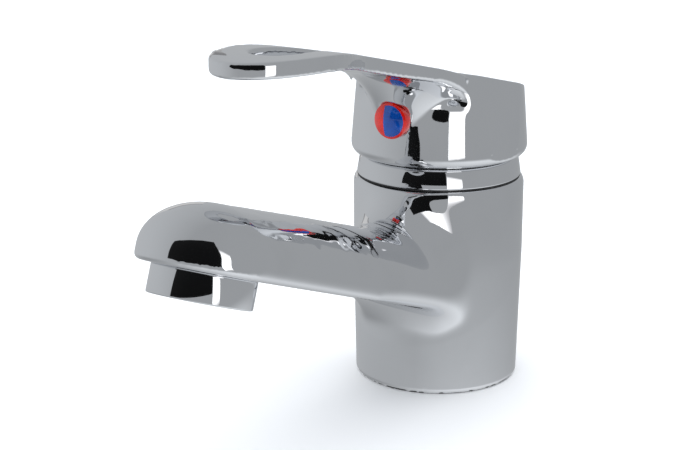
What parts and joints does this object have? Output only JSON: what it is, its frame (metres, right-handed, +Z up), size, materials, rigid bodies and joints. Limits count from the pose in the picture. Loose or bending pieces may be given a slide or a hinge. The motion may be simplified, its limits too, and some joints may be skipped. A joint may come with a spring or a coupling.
{
  "type": "single-lever bathroom mixer faucet",
  "caption": "Deck-mounted single-lever basin mixer with a short rising spout, round body, looped lever and a red and blue temperature mark.",
  "frame": {"origin": "centre of the round base, on the deck it stands on", "axes": "+Z up, the spout and the lever point to -Y, +X is the cold side"},
  "size_m": [0.0532, 0.1585, 0.1119],
  "materials": {
    "chrome_body": "bright chrome plate on cast brass",
    "chrome_handle": "bright chrome plate on cast zinc",
    "chrome_ring": "bright chrome plate on thin brass",
    "chrome_aerator": "bright chrome plate on turned brass",
    "brass": "machined",
    "steel": "bright stainless",
    "black_rubber": "matt",
    "white_plastic": "moulded acetal",
    "grey_plastic": "moulded",
    "red_plastic": "moulded",
    "ceramic": "lapped alumina",
    "red_lens": "clear red, polished",
    "blue_plastic": "glossy"
  },
  "bodies": {
    "body": {"body_casting": "chrome_body", "base_gasket": "black_rubber", "aerator_housing": "chrome_aerator", "aerator_insert": "white_plastic", "aerator_screen": "steel", "aerator_washer": "black_rubber", "cartridge_base": "grey_plastic", "port_seals": "black_rubber", "cartridge_o_ring": "black_rubber", "cartridge_housing": "grey_plastic", "cartridge_nut": "brass", "turn_limit_ring": "red_plastic", "fixed_disc": "ceramic", "cover_ring": "chrome_ring"},
    "turret": {"stem_guide": "white_plastic", "pivot_pin": "steel"},
    "slider": {"moving_disc": "ceramic", "disc_carrier": "white_plastic"},
    "lever": {"lever_stem": "steel", "handle": "chrome_handle", "set_screw": "steel", "indicator_cap": "red_lens", "indicator_blue": "blue_plastic"}
  },
  "joints": [
    {"name": "lever_turn", "type": "hinge", "parent": "body", "child": "turret", "pos_m": [0, 0, 0.058], "axis": [0, 0, 1], "range_deg": [-50, 50]},
    {"name": "lever_lift", "type": "hinge", "parent": "turret", "child": "lever", "pos_m": [0, 0, 0.058], "axis": [-1, 0, 0], "range_deg": [0, 25]},
    {"name": "disc_slide", "type": "slide", "parent": "turret", "child": "slider", "axis": [0, -1, 0], "range_m": [0, 0.0042]}
  ],
  "couplings": [
    {"joint": "disc_slide", "follows": "lever_lift", "m_per_rad": 0.0094}
  ]
}
